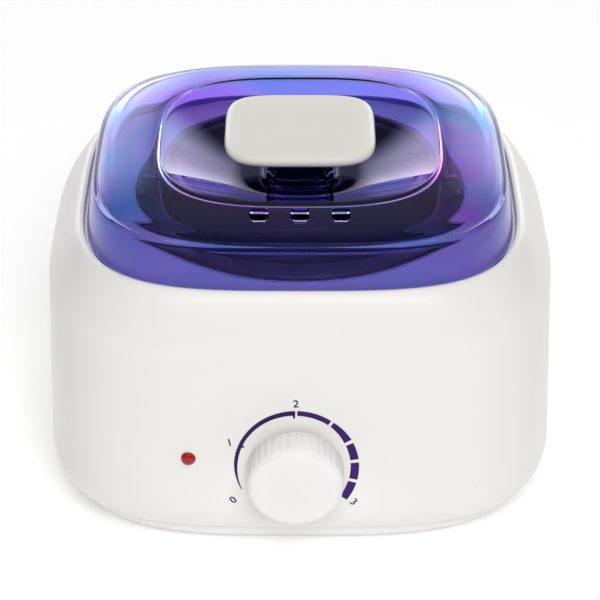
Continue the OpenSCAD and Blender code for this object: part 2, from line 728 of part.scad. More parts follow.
// The underside follows the outer surface at the lid's thickness.
lid_under = [
    [stem_a - lid_t, stem_b - lid_t, 5, grip_under_z + 1.8 - lid_t],
    [stem_a - lid_t + 0.3, stem_b - lid_t + 0.3, 5, bowl_floor_z - lid_t],
    for (u = [1 : -0.2 : 0.15]) dish(u, lid_t),
    [bowl_a + 1.2, bowl_b + 1.2, bowl_square, bowl_rim_z - lid_t - 0.3],
    [
        edge_a + (bowl_a - edge_a) * 0.6, edge_b + (bowl_b - edge_b) * 0.6,
        bowl_square + 0.1, lid_edge_z + 5 - lid_t
    ],
    [edge_a - lid_t, edge_b - lid_t, edge_square, lid_edge_z + 0.4 - lid_t],
    [edge_a + 1 - lid_t, edge_b + 1 - lid_t, edge_square, lid_edge_z - 2.2 - lid_t],
    [lid_a - 0.4 - lid_t, lid_b - 0.4 - lid_t, lid_square, 115.5],
    [lid_a - lid_t, lid_b - lid_t, lid_square, lid_seat_z]
];

module lid_shell() color("MediumSlateBlue", 0.6) difference() {
    loft([for (s = concat(lid_under, lid_steps)) outline(s[0], s[1], s[2], s[3])]);
    for (i = [-1 : 1]) translate([i * vent_pitch, vent_y, lid_edge_z - 5])
        linear_extrude(15) round_rect(vent_w, vent_d, 1.6);
    for (s = [-1, 1]) cyl_z(screw_hole_r + 0.2, 130, 145, s * 6, 0, small);
}

module lid_grip_plate() color(white) difference() {
    union() {
        difference() {
            loft([
                for (p = [
                    [-1.2, grip_under_z], [-0.3, grip_under_z + 0.7], [0, grip_under_z + 1.8],
                    [-0.2, grip_top_z - 1.9], [-0.9, grip_top_z - 1], [-2.4, grip_top_z - 0.4],
                    [-10, grip_top_z - 0.1], [-20, grip_top_z]
                ]) outline(grip_a + p[0], grip_b + p[0], grip_square - (p[0] < -9 ? 1.5 : 0), p[1])
            ]);
            loft([
                outline(grip_a - 2.6, grip_b - 2.6, grip_square, grip_under_z - 1),
                outline(grip_a - 3.4, grip_b - 3.4, grip_square, grip_top_z - 2.6)
            ]);
        }
        for (s = [-1, 1]) cyl_z(3.4, grip_under_z + 1.8, grip_top_z - 1.6, s * 6, 0);
    }
    for (s = [-1, 1]) cyl_z(screw_hole_r, grip_under_z, grip_top_z - 1.4, s * 6, 0, small);
}

module lid_grip_screws() color(steel)
    for (s = [-1, 1]) screw_up(s * 6, 0, grip_under_z + 1.8 - lid_t, 3.7, 2.6, 1.6);

// ---------------------------------------------------------------- the object

translate([0, body_y, 0]) {
    housing_shell();
    base_tray();
    base_screws();
    rubber_feet();
    heating_well();
    well_strap();
    well_nut();
    strap_screws();
    heater_band();
    heater_clamp_bolt();
    heater_blanket();
    heater_terminals();
    thermostat_body();
    thermostat_bushing();
    thermostat_nut();
    thermostat_terminals();
    thermostat_shaft();
    dial_knob();
    thermal_fuse();
    fuse_clip();
    indicator_lens();
    neon_lamp();
    lamp_push_nut();
    cord_gland();
    cord_clamp();
    cord_clamp_screws();
    terminal_block();
    terminal_block_screw();
    terminal_screws();
    push_on_connectors();
    live_lead();
    neutral_lead();
    earth_lead();
    heater_leads();
    lamp_leads();
    wax_pot();
    pot_lugs();
    pot_rivets();
    bail_handle();
    lid_shell();
    lid_grip_plate();
    lid_grip_screws();
}
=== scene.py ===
"""Looks of the wax warmer pot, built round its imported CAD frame. Blender works in metres here.

Sections are given in millimetres, with x = y = 0 on the pot's axis, and mm() puts them in the frame.
"""
import math

import bmesh
import bpy
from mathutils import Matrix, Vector


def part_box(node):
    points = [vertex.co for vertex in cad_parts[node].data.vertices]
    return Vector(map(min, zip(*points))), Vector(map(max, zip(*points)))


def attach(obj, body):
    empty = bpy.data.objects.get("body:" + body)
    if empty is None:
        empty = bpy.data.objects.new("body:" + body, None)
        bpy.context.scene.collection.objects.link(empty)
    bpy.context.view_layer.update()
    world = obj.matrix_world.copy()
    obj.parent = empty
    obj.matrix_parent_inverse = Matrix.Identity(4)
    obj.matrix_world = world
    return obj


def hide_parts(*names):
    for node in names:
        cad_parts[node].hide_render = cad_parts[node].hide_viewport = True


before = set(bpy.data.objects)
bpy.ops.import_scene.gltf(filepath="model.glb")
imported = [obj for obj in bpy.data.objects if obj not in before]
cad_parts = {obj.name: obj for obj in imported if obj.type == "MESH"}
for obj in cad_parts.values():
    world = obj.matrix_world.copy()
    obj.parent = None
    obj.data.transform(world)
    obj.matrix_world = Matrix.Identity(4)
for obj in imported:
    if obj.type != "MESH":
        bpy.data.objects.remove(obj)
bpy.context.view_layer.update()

MM = 0.001
well_low, well_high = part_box("heating_well")
AXIS_Y = (well_low.y + well_high.y) / 2


def node_mm(node):
    """A CAD node's box in millimetres, about the pot's axis."""
    low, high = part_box(node)
    shift = Vector((0, AXIS_Y, 0))
    return (low - shift) / MM, (high - shift) / MM


# ---------------------------------------------------------------- driving sizes, from the frame
# _A is a half width, _B a half depth, _N a squareness, _R a radius, _Z a height.

SHELL_LOW, SHELL_HIGH = node_mm("housing_shell")
TRAY_LOW, TRAY_HIGH = node_mm("base_tray")
LID_LOW, LID_HIGH = node_mm("lid_shell")
GRIP_LOW, GRIP_HIGH = node_mm("lid_grip_plate")
KNOB_LOW, KNOB_HIGH = node_mm("dial_knob")
POT_LOW, POT_HIGH = node_mm("wax_pot")
LENS_LOW, LENS_HIGH = node_mm("indicator_lens")

SQUARE = 3.5
WALL = 2.5
BELLY_A = SHELL_HIGH.x
ASPECT = SHELL_HIGH.y / BELLY_A
BELLY_Z = 21
SEAM_A = BELLY_A - 6.5
SEAM_Z = SHELL_LOW.z
SHOULDER_A = BELLY_A - 3.5
SHOULDER_Z = 95
LIP_A = BELLY_A - 15.7
LIP_Z = SHELL_HIGH.z - 0.3
LIP_IN_A = LIP_A - 2.3
SHOULDER_POWER = 1.65
DECK_Z = 112
HOLE_R = 60.5
DIAL_Z = (KNOB_LOW.z + KNOB_HIGH.z) / 2
DIAL_X = (KNOB_LOW.x + KNOB_HIGH.x) / 2
KNOB_R = (KNOB_HIGH.x - KNOB_LOW.x) / 2
LAMP_X = (LENS_LOW.x + LENS_HIGH.x) / 2
LAMP_Z = (LENS_LOW.z + LENS_HIGH.z) / 2
POST_X, POST_Y = 72, 56
CLAMP_X, CLAMP_Y = 9.5, 64
FOOT_X, FOOT_Y = 50, 62
CREASE = math.radians(38)


# ---------------------------------------------------------------- mesh helpers

def mm(x, y, z):
    """A point in millimetres about the pot's axis, as a point of the frame in metres."""
    return Vector((x * MM, y * MM + AXIS_Y, z * MM))


def squircle(a, b, n, z, count=256):
    """Superellipse of half width a, half depth b and squareness n at height z."""
    points = []
    for i in range(count):
        t = 2 * math.pi * i / count
        r = (abs(math.cos(t) / a) ** n + abs(math.sin(t) / b) ** n) ** (-1 / n)
        points.append((r * math.cos(t), r * math.sin(t), z))
    return points


def arc(x, y, wide, high, degrees):
    """Points of an elliptical arc about (x, y), at the given angles."""
    turns = [math.radians(t) for t in degrees]
    return [(x + wide * math.cos(t), y + high * math.sin(t)) for t in turns]


def grown(a, b, n, *steps):
    """Stations (half width, half depth, squareness, height) from steps of (growth, height)."""
    return [(a + growth, b + growth, n, z) for growth, z in steps]


def spline(stations, steps):
    """Smooth line through the stations (centripetal Catmull-Rom), with so many steps between each two."""
    points = []
    for i in range(len(stations) - 1):
        p = [stations[max(i - 1, 0)], stations[i], stations[i + 1], stations[min(i + 2, len(stations) - 1)]]
        gaps = [max(math.dist(p[k], p[k + 1]) ** 0.5, 1e-3) for k in range(3)]
        if i == 0:
            gaps[0] = gaps[1]
        if i == len(stations) - 2:
            gaps[2] = gaps[1]
        for s in range(steps):
            t = s / steps
            point = []
            for a, b, c, d in zip(*p):
                into = gaps[1] * ((b - a) / gaps[0] - (c - a) / (gaps[0] + gaps[1])) + (c - b)
                out = gaps[1] * ((d - c) / gaps[2] - (d - b) / (gaps[1] + gaps[2])) + (c - b)
                square, cube = 3 * (c - b) - 2 * into - out, 2 * (b - c) + into + out
                point.append(b + into * t + square * t * t + cube * t ** 3)
            points.append(tuple(point))
    points.append(tuple(stations[-1]))
    return points


def loft(name, rings, looped=False):
    """Mesh through rings of points in millimetres. looped joins the last to the first; else it is capped."""
    count = len(rings[0])
    mesh = bpy.data.meshes.new(name)
    verts = [mm(*point) for ring in rings for point in ring]
    faces = []
    steps = len(rings) if looped else len(rings) - 1
    for k in range(steps):
        low, high = k * count, (k + 1) % len(rings) * count
        for i in range(count):
            j = (i + 1) % count
            faces.append((low + i, low + j, high + j, high + i))
    if not looped:
        for ring, flip in ((0, True), (len(rings) - 1, False)):
            centre = sum((verts[ring * count + i] for i in range(count)), Vector()) / count
            verts.append(centre)
            for i in range(count):
                a, b = ring * count + i, ring * count + (i + 1) % count
                faces.append((b, a, len(verts) - 1) if flip else (a, b, len(verts) - 1))
    mesh.from_pydata(verts, [], faces)
    return tidy(mesh)


def lathe(name, section, axis="Z", at=(0, 0, 0), count=192):
    """Mesh turned from a closed section of (radius, height) about an axis through a point, in millimetres."""
    rings = []
    for k in range(count):
        t = 2 * math.pi * k / count
        ring = []
        for r, h in section:
            if axis == "Z":
                ring.append((at[0] + r * math.cos(t), at[1] + r * math.sin(t), at[2] + h))
            else:
                ring.append((at[0] + r * math.cos(t), at[1] + h, at[2] + r * math.sin(t)))
        rings.append(ring)
    return loft(name, rings, looped=True)


def tidy(mesh):
    """Welds double points, turns the faces outwards and shades them smooth, with sharp edges kept."""
    bm = bmesh.new()
    bm.from_mesh(mesh)
    bmesh.ops.remove_doubles(bm, verts=bm.verts, dist=2e-6)
    bmesh.ops.dissolve_degenerate(bm, edges=bm.edges, dist=1e-7)
    bmesh.ops.recalc_face_normals(bm, faces=bm.faces)
    if bm.calc_volume(signed=True) < 0:
        bmesh.ops.reverse_faces(bm, faces=bm.faces)
    bm.to_mesh(mesh)
    bm.free()
    mesh.shade_smooth()
    mesh.set_sharp_from_angle(angle=CREASE)
    return mesh


def combine(name, meshes, mode="UNION"):
    """One mesh from several by a boolean: the first one with the others added or cut away."""
    scene = bpy.context.scene
    base = bpy.data.objects.new(name + "_work", meshes[0])
    scene.collection.objects.link(base)
    others = []
    for mesh in meshes[1:]:
        other = bpy.data.objects.new("cutter", mesh)
        scene.collection.objects.link(other)
        others.append(other)
        modifier = base.modifiers.new("boolean", "BOOLEAN")
        modifier.object = other
        modifier.operation = mode
        modifier.solver = "EXACT"
    bpy.context.view_layer.update()
    result = bpy.data.meshes.new_from_object(base.evaluated_get(bpy.context.evaluated_depsgraph_get()))
    for o in [base, *others]:
        bpy.data.objects.remove(o)
    result.name = name
    return tidy(result)


def piece(name, mesh, mat, body, *nodes):
    """Puts a finished mesh in the scene: it rides on a body and stands for CAD nodes."""
    obj = bpy.data.objects.new(name, mesh)
    bpy.context.scene.collection.objects.link(obj)
    mesh.materials.clear()
    mesh.materials.append(mat)
    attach(obj, body)
    if nodes:
        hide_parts(*nodes)


def rod(name, radius, start, end, count=64):
    """Round bar between two points in millimetres."""
    start, end = Vector(start), Vector(end)
    along = (end - start).normalized()
    side = along.cross(Vector((0, 0, 1)) if abs(along.z) < 0.9 else Vector((1, 0, 0))).normalized()
    up = along.cross(side)
    across = []
    for i in range(count):
        t = 2 * math.pi * i / count
        across.append(side * (radius * math.cos(t)) + up * (radius * math.sin(t)))
    return loft(name, [[tuple(place + offset) for offset in across] for place in (start, end)])


def box_mesh(low, high):
    """Plain block, used only to cut other shapes."""
    ring = [(low[0], low[1]), (high[0], low[1]), (high[0], high[1]), (low[0], high[1])]
    return loft("block", [[(*p, z) for p in ring] for z in (low[2], high[2])])


def slot_cutter(x, y, length, width, z0, z1, corner):
    """Upright block with rounded corners, used only to cut other shapes."""
    ring = []
    for quarter in range(4):
        side_x = 1 if quarter in (0, 3) else -1
        side_y = 1 if quarter in (0, 1) else -1
        centre = (x + side_x * (length / 2 - corner), y + side_y * (width / 2 - corner))
        ring += arc(*centre, corner, corner, range(90 * quarter, 90 * quarter + 91, 15))
    return loft("slot", [[(*p, z) for p in ring] for z in (z0, z1)])


def post(x, y, r, hole, z0, z1):
    """Screw post with its hole in the lower end."""
    section = [(hole, z0), (r - 0.3, z0), (r, z0 + 0.3), (r, z1)]
    section += [(hole * 0.5, z1), (hole * 0.5, z0 + 14), (hole, z0 + 13)]
    return lathe("post", section, at=(x, y, 0), count=40)


def join(mesh, other):
    """Adds another closed mesh to a mesh as it is."""
    bm = bmesh.new()
    bm.from_mesh(mesh)
    bm.from_mesh(other)
    bm.to_mesh(mesh)
    bm.free()
    mesh.set_sharp_from_angle(angle=CREASE)


# ---------------------------------------------------------------- materials

NOISE_SPREAD = (0.3, 0.7)


def material(name, colour, roughness, metallic=0.0, **sockets):
    """Principled material. The sockets that are the same all over are set directly."""
    mat = bpy.data.materials.new(name)
    mat.use_nodes = True
    shader = mat.node_tree.nodes["Principled BSDF"]
    shader.inputs["Base Color"].default_value = (*colour, 1)
    shader.inputs["Roughness"].default_value = roughness
    shader.inputs["Metallic"].default_value = metallic
    for socket, value in sockets.items():
        shader.inputs[socket.replace("_", " ")].default_value = value
    return mat


def add(mat, kind, **settings):
    """A new node in a material, with its inputs set by name."""
    node = mat.node_tree.nodes.new(kind)
    for key, value in settings.items():
        if key in node.inputs:
            node.inputs[key].default_value = value
        else:
            setattr(node, key, value)
    return node


def link(mat, source, target):
    mat.node_tree.links.new(source, target)


def grain(mat, scale, detail=3.0, stretch=(1, 1, 1)):
    """Noise over the object's own coordinates, so many cells a metre."""
    place = add(mat, "ShaderNodeTexCoord")
    mapping = add(mat, "ShaderNodeMapping")
    mapping.inputs["Scale"].default_value = stretch
    noise = add(mat, "ShaderNodeTexNoise", Scale=scale, Detail=detail)
    link(mat, place.outputs["Object"], mapping.inputs["Vector"])
    link(mat, mapping.outputs["Vector"], noise.inputs["Vector"])
    return noise.outputs["Fac"]


def spread_range(mat, start, end, low, high):
    """Node that turns start..end into low..high."""
    node = add(mat, "ShaderNodeMapRange")
    for socket, value in (("From Min", start), ("From Max", end), ("To Min", low), ("To Max", high)):
        node.inputs[socket].default_value = value
    return node


def vary_roughness(mat, fac, low, high):
    """Roughness between two levels, by a noise."""
    spread = spread_range(mat, *NOISE_SPREAD, low, high)
    link(mat, fac, spread.inputs["Value"])
    link(mat, spread.outputs["Result"], mat.node_tree.nodes["Principled BSDF"].inputs["Roughness"])


def two_colours(mat, fac, start, dark, end, light):
    """Ramp from one colour to another, fed by a noise."""
    ramp = add(mat, "ShaderNodeValToRGB")
    for stop, position, colour in zip(ramp.color_ramp.elements, (start, end), (dark, light)):
        stop.position = position
        stop.color = (*colour, 1)
    link(mat, fac, ramp.inputs["Fac"])
    return ramp


def vary_colour(mat, fac, dark, light):
    """Base colour between two colours, by a noise."""
    ramp = two_colours(mat, fac, NOISE_SPREAD[0], dark, NOISE_SPREAD[1], light)
    link(mat, ramp.outputs["Color"], mat.node_tree.nodes["Principled BSDF"].inputs["Base Color"])


def bump(mat, height, strength, distance):
    """Adds a bump on top of those that the material has."""
    node = add(mat, "ShaderNodeBump", Strength=strength, Distance=distance)
    shader = mat.node_tree.nodes["Principled BSDF"]
    if shader.inputs["Normal"].is_linked:
        link(mat, shader.inputs["Normal"].links[0].from_socket, node.inputs["Normal"])
    link(mat, height, node.inputs["Height"])
    link(mat, node.outputs["Normal"], shader.inputs["Normal"])


def moulded(name, colour, roughness, texture=0.03, **sockets):
    """Moulded plastic: faint mottling, uneven gloss and a fine surface texture."""
    mat = material(name, colour, roughness, **sockets)
    vary_colour(mat, grain(mat, 30, 2), [0.99 * c for c in colour], colour)
    vary_roughness(mat, grain(mat, 40, 2), roughness * 0.94, roughness * 1.06)
    bump(mat, grain(mat, 1800, 2), texture, 0.0001)
    return mat


def spun(name, colour, roughness):
    """Spun sheet metal: rings round the pot's axis, with uneven gloss."""
    mat = material(name, colour, roughness, metallic=1.0)
    place = add(mat, "ShaderNodeTexCoord")
    centre = add(mat, "ShaderNodeMapping")
    centre.inputs["Location"].default_value = (0, -AXIS_Y, 0)
    wave = add(mat, "ShaderNodeTexWave", wave_type="RINGS", rings_direction="SPHERICAL")
    wave.inputs["Scale"].default_value = 150
    wave.inputs["Distortion"].default_value = 1.5
    wave.inputs["Detail"].default_value = 3
    link(mat, place.outputs["Object"], centre.inputs["Vector"])
    link(mat, centre.outputs["Vector"], wave.inputs["Vector"])
    vary_roughness(mat, grain(mat, 60, 5), roughness * 0.8, roughness * 1.25)
    vary_colour(mat, grain(mat, 90, 4), [0.9 * c for c in colour], colour)
    bump(mat, wave.outputs["Fac"], 0.12, 0.0001)
    return mat


def plated(name, colour, roughness):
    """Plated or drawn metal parts: streaks along the part and small tarnish spots."""
    mat = material(name, colour, roughness, metallic=1.0)
    vary_colour(mat, grain(mat, 350, 5), [0.8 * c for c in colour], colour)
    vary_roughness(mat, grain(mat, 500, 5, (1, 1, 6)), roughness * 0.7, roughness * 1.4)
    bump(mat, grain(mat, 2500, 2), 0.05, 0.0001)
    return mat


def coarse(name, colour, roughness, scale, depth):
    """Rubber, ceramic, felt or wire insulation: a broken colour with a texture that can be felt."""
    mat = material(name, colour, roughness)
    vary_colour(mat, grain(mat, scale, 5), [0.78 * c for c in colour], colour)
    vary_roughness(mat, grain(mat, scale * 0.6, 3), roughness * 0.85, min(roughness * 1.1, 1))
    bump(mat, grain(mat, scale * 2, 4), depth, 0.0004)
    return mat


def tinted(name, colour, roughness, **sockets):
    """Clear tinted plastic, polished, with the faint waviness of a moulding."""
    mat = material(name, colour, roughness, Transmission_Weight=1.0, **sockets)
    vary_roughness(mat, grain(mat, 60, 2), roughness * 0.7, roughness * 1.4)
    bump(mat, grain(mat, 22, 1), 0.05, 0.0005)
    return mat


def painted_reflection_tints(mat, plain, cool, warm):
    """Painted reflection tints: the base colour drifts to blue and to magenta on the lid's upper side, and
    stays plain on its skirt.
    """
    reflection_drift = two_colours(mat, grain(mat, 17, 1, (1, 1.6, 1)), 0.34, cool, 0.66, warm)
    reflection_drift.color_ramp.elements.new(0.5).color = (*plain, 1)
    place = add(mat, "ShaderNodeTexCoord")
    split = add(mat, "ShaderNodeSeparateXYZ")
    above = spread_range(mat, 0.126, 0.133, 0.1, 1.0)
    mix = add(mat, "ShaderNodeMix", data_type="RGBA")
    mix.inputs[6].default_value = (*plain, 1)
    link(mat, place.outputs["Object"], split.inputs["Vector"])
    link(mat, split.outputs["Z"], above.inputs["Value"])
    link(mat, above.outputs["Result"], mix.inputs[0])
    link(mat, reflection_drift.outputs["Color"], mix.inputs[7])
    link(mat, mix.outputs[2], mat.node_tree.nodes["Principled BSDF"].inputs["Base Color"])


white_gloss = moulded("moulded_white", (0.83, 0.815, 0.79), 0.3, Coat_Weight=0.15, Coat_Roughness=0.08)
# The knob's white is painted lighter than the housing's, to lift the shade on its flutes and sides.
white_knob_painted_light = moulded(
    "knob_white_painted_light", (0.9, 0.885, 0.86), 0.3, Coat_Weight=0.15, Coat_Roughness=0.1,
    Subsurface_Weight=0.5, Subsurface_Radius=(1, 1, 1), Subsurface_Scale=0.005,
)
# The tray's white is painted lighter than the housing's, to lift the shade under the housing's belly; the
# cord clamp shares it.
white_tray_painted_light = moulded("tray_white", (0.87, 0.852, 0.83), 0.4, 0.08)
white_grip = moulded("grip_white", (0.76, 0.74, 0.69), 0.34)
VIOLET = (0.53, 0.485, 1.0)
violet = tinted("violet_clear", VIOLET, 0.012, IOR=1.56, Specular_Tint=(0.22, 0.17, 0.6, 1))
# Painted reflection: blue and magenta tints in the base colour of the lid's upper side.
painted_reflection_tints(violet, VIOLET, (0.16, 0.52, 1.0), (0.7, 0.22, 0.95))
# The faint emission is painted glow that keeps the lens bright red; the lamp behind it is not lit.
red_clear = material(
    "red_clear", (0.42, 0.01, 0.008), 0.08, Transmission_Weight=0.3, IOR=1.49,
    Emission_Color=(0.6, 0.02, 0.01, 1), Emission_Strength=0.05,
)
vary_roughness(red_clear, grain(red_clear, 500, 2), 0.05, 0.12)
ink = moulded("scale_ink", (0.04, 0.004, 0.13), 0.5, Specular_IOR_Level=0.25)
ink_dark = moulded("scale_ink_dark", (0.018, 0.006, 0.075), 0.5, Specular_IOR_Level=0.25)
# The pot is coloured near black all over.
pot_metal = spun("near_black_pot", (0.05, 0.045, 0.055), 0.3)
well_metal = spun("spun_well", (0.72, 0.72, 0.74), 0.35)
steel = plated("zinc_plate", (0.60, 0.60, 0.61), 0.28)
wire_steel = plated("wire_steel", (0.66, 0.65, 0.64), 0.2)
lug_steel = plated("lug_steel", (0.10, 0.10, 0.11), 0.35)
brass = plated("turned_brass", (0.72, 0.55, 0.28), 0.25)
rubber = coarse("foot_rubber", (0.045, 0.045, 0.05), 0.75, 900, 0.3)
gland_rubber = coarse("gland_grey", (0.60, 0.59, 0.57), 0.6, 900, 0.15)
ceramic = coarse("terminal_ceramic", (0.80, 0.77, 0.70), 0.6, 700, 0.2)
mica = coarse("heater_mica", (0.45, 0.36, 0.2), 0.5, 400, 0.3)
felt = coarse("heater_felt", (0.80, 0.78, 0.72), 0.95, 1500, 0.9)
glass = material("lamp_glass", (0.95, 0.92, 0.9), 0.05, IOR=1.5, Transmission_Weight=0.9)
vary_roughness(glass, grain(glass, 600, 3), 0.03, 0.09)
wires = {
    "live_lead": (0.20, 0.09, 0.04),
    "neutral_lead": (0.05, 0.16, 0.5),
    "earth_lead": (0.25, 0.45, 0.05),
    "heater_leads": (0.82, 0.80, 0.75),
    "lamp_leads": (0.5, 0.03, 0.04),
    "push_on_connectors": (0.78, 0.74, 0.66),
}


# ---------------------------------------------------------------- housing

def wall_a(z):
    """Half width of the housing's outer surface at a height."""
    if z <= BELLY_Z:
        below = (BELLY_Z - z) / (BELLY_Z - SEAM_Z)
        return SEAM_A + (BELLY_A - SEAM_A) * math.sqrt(max(0, 1 - below ** 2))
    if z <= SHOULDER_Z:
        return BELLY_A + (SHOULDER_A - BELLY_A) * (z - BELLY_Z) / (SHOULDER_Z - BELLY_Z)
    rise = (z - SHOULDER_Z) / (LIP_Z - SHOULDER_Z)
    fall = 1 - rise ** (2 / SHOULDER_POWER)
    return LIP_A + (SHOULDER_A - LIP_A) * max(fall, 0) ** (SHOULDER_POWER / 2)


def wall_y(x, z):
    """The front wall's outer surface."""
    a = wall_a(z)
    return -a * ASPECT * (1 - (abs(x) / a) ** SQUARE) ** (1 / SQUARE)


def body_ring(a, z):
    """The housing's outline, for a half width at a height."""
    return squircle(a, a * ASPECT, SQUARE, z)


def round_ring(r, z):
    """Circle with as many points as the outline."""
    return squircle(r, r, 2, z)


def shoulder(t, inset=0, drop=0):
    """Half width and height on the shoulder: t is 0 at its foot and 90 at the lip."""
    t = math.radians(t)
    return (
        LIP_A + (SHOULDER_A - LIP_A) * math.cos(t) ** SHOULDER_POWER - inset,
        SHOULDER_Z + (LIP_Z - SHOULDER_Z) * math.sin(t) ** SHOULDER_POWER - drop,
    )


def belly(t, inset=0):
    """Half width and height on the belly: t is 0 at the seam and 90 at the widest place."""
    t = math.radians(t)
    return SEAM_A + (BELLY_A - SEAM_A) * math.sin(t) - inset, BELLY_Z - (BELLY_Z - SEAM_Z) * math.cos(t)


def make_housing():
    """Shell from the seam up over the lip to the deck's hole and back down inside, then holes and posts."""
    under = DECK_Z - WALL
    rings = [body_ring(SEAM_A - 0.4, SEAM_Z), body_ring(SEAM_A - 0.1, SEAM_Z + 0.1)]
    rings += [body_ring(*belly(t)) for t in range(10, 91, 5)]
    sides = 14
    for k in range(1, sides):
        z = BELLY_Z + (SHOULDER_Z - BELLY_Z) * k / sides
        rings.append(body_ring(wall_a(z), z))
    rings += [body_ring(*shoulder(t)) for t in range(0, 85, 4)]
    top = LIP_Z + 0.3
    lip = [(LIP_A - 0.25, LIP_Z + 0.2), (LIP_A - 0.6, top), (LIP_IN_A + 0.9, top), (LIP_IN_A + 0.4, LIP_Z)]
    lip += [(LIP_IN_A + 0.1, LIP_Z - 0.8), (LIP_IN_A, DECK_Z + 0.4), (LIP_IN_A - 0.4, DECK_Z)]
    rings += [body_ring(a, z) for a, z in lip]
    rings += [round_ring(HOLE_R + 0.5, DECK_Z), round_ring(HOLE_R, DECK_Z - 0.5), round_ring(HOLE_R, under)]
    rings += [body_ring(LIP_IN_A - WALL, under)]
    rings += [body_ring(*shoulder(t, WALL, WALL)) for t in range(60, 19, -10)]
    rings += [body_ring(*belly(t, WALL)) for t in range(90, -1, -15)]
    shell = loft("housing", rings, looped=True)
    front = wall_y(0, DIAL_Z)
    cutters = [
        rod("nut_recess", 8.5, (DIAL_X, front - 3, DIAL_Z), (DIAL_X, front + 0.6, DIAL_Z)),
        rod("bushing_hole", 4.3, (DIAL_X, front - 5, DIAL_Z), (DIAL_X, front + 9, DIAL_Z)),
        rod("lens_seat", 2.85, (LAMP_X, front - 5, LAMP_Z), (LAMP_X, front + 1.9, LAMP_Z)),
        rod("lens_hole", 2.55, (LAMP_X, front - 5, LAMP_Z), (LAMP_X, front + 8, LAMP_Z)),
        box_mesh((-5.2, 75, SEAM_Z - 1), (5.2, SHELL_HIGH.y + 5, 22)),
    ]
    mesh = combine("housing", [shell, *cutters], "DIFFERENCE")
    for sx in (-1, 1):
        for y, z in ((-POST_Y, 12), (POST_Y, 12), (0, 49.2)):
            join(mesh, post(sx * POST_X, y, 4.5, 1.5, z, under + 0.5))
    boss = [(4.3, front + 4.6), (4.3, front + 1.5), (10, front + 1.5), (10, front + 4.6)]
    join(mesh, lathe("dial_boss", boss, "Y", (DIAL_X, 0, DIAL_Z), 64))
    return mesh


piece("housing", make_housing(), white_gloss, "root", "housing_shell")


# ---------------------------------------------------------------- tray

def make_tray():
    """Dish with a tongue that goes up inside the housing, then its bosses, holes and cooling slots."""
    tray_a = SEAM_A - 5
    low = TRAY_LOW.z
    floor = low + 2.5
    tongue = SEAM_A - WALL - 0.5
    profile = [(tray_a - 1.4, low), (tray_a - 0.5, low + 0.25), (tray_a, low + 0.9)]
    profile += arc(tray_a, low + 8.8, 5, 7.9, (-70, -50, -30, -15, 0))
    profile += [(SEAM_A, SEAM_Z - 0.5), (SEAM_A - 0.4, SEAM_Z - 0.1)]
    profile += [(tongue, SEAM_Z - 0.1), (tongue, TRAY_HIGH.z), (tongue - 1.6, TRAY_HIGH.z)]
    profile += [(tongue - 1.6, SEAM_Z - 2), (tray_a - 2.6, floor + 0.6), (tray_a - 3.4, floor)]
    shell = loft("tray", [body_ring(a, z) for a, z in profile])
    bosses, cutters = [], []

    def upright(name, radius, x, y, z0, z1):
        return rod(name, radius, (x, y, z0), (x, y, z1))

    for sx in (-1, 1):
        bosses.append(upright("clamp_post", 3.6, sx * CLAMP_X, CLAMP_Y, floor - 1, 12.7))
        cutters.append(upright("clamp_hole", 1.5, sx * CLAMP_X, CLAMP_Y, 5, 16))
        for sy in (-1, 1):
            bosses.append(upright("boss", 5, sx * POST_X, sy * POST_Y, floor - 1, 12))
            cutters.append(upright("screw_hole", 1.7, sx * POST_X, sy * POST_Y, 0, 13))
            cutters.append(upright("screw_pit", 3.6, sx * POST_X, sy * POST_Y, 0, low + 3.2))
            cutters.append(upright("foot_pit", 7.1, sx * FOOT_X, sy * FOOT_Y, 0, low + 1.2))
        for i in range(-2, 3):
            cutters.append(slot_cutter(sx * 30, i * 9, 26, 3.4, 0, floor + 2, 1.6))
    cutters.append(upright("block_hole", 1.5, 26, 52, floor - 1.6, floor + 1))
    cutters.append(box_mesh((-9, 74, SEAM_Z - 0.1), (9, SHELL_HIGH.y, TRAY_HIGH.z + 1)))
    body = combine("tray_body", [shell, *bosses])
    return combine("tray", [body, *cutters], "DIFFERENCE")


piece("tray", make_tray(), white_tray_painted_light, "root", "base_tray")


# ---------------------------------------------------------------- lid

LID_T = 2.3
LID_A, LID_B = LID_HIGH.x, LID_HIGH.y
EDGE_A, EDGE_B, EDGE_Z = LID_A - 4, LID_B - 3.5, 131
BOWL_A, BOWL_B, BOWL_Z = 54.4, 49, 137
FLOOR_A, FLOOR_B, FLOOR_Z = 23, 19, 121.3
STEM_A, STEM_B = 13, 8.5
LID_N, EDGE_N, BOWL_N, STEM_N, GRIP_N = 3.5, 3.4, 3.1, 5, 4.4
SKIRT_Z = 115.5
DISH_POWER = 1.4
VENT_PITCH, VENT_Y = 15.2, -56.2


def dish(u, sunk=0.0):
    """Station of the finger bowl: u is 0 at its rim and 1 at its floor, sunk goes into the material."""
    rim_a, rim_b, rise = BOWL_A - 0.5, BOWL_B - 0.5, BOWL_Z - 0.4 - FLOOR_Z
    slope = math.atan(DISH_POWER * rise / (rim_a - FLOOR_A) * (1 - u) ** (DISH_POWER - 1))
    return (
        rim_a - (rim_a - FLOOR_A) * u + sunk * math.sin(slope),
        rim_b - (rim_b - FLOOR_B) * u + sunk * math.sin(slope),
        BOWL_N - 0.4 * u,
        FLOOR_Z + rise * (1 - u) ** DISH_POWER - sunk * math.cos(slope),
    )


def lid_top(u, drop=0.0):
    """Station of the lid's upper side: u is 0 at its edge and 1 at the finger bowl's rim."""
    rise = math.sin(math.radians(90 * (0.1 + 0.84 * u)))
    return (
        EDGE_A + (BOWL_A - EDGE_A) * u, EDGE_B + (BOWL_B - EDGE_B) * u, EDGE_N + (BOWL_N - EDGE_N) * u,
        EDGE_Z + (BOWL_Z - EDGE_Z) * rise - drop,
    )


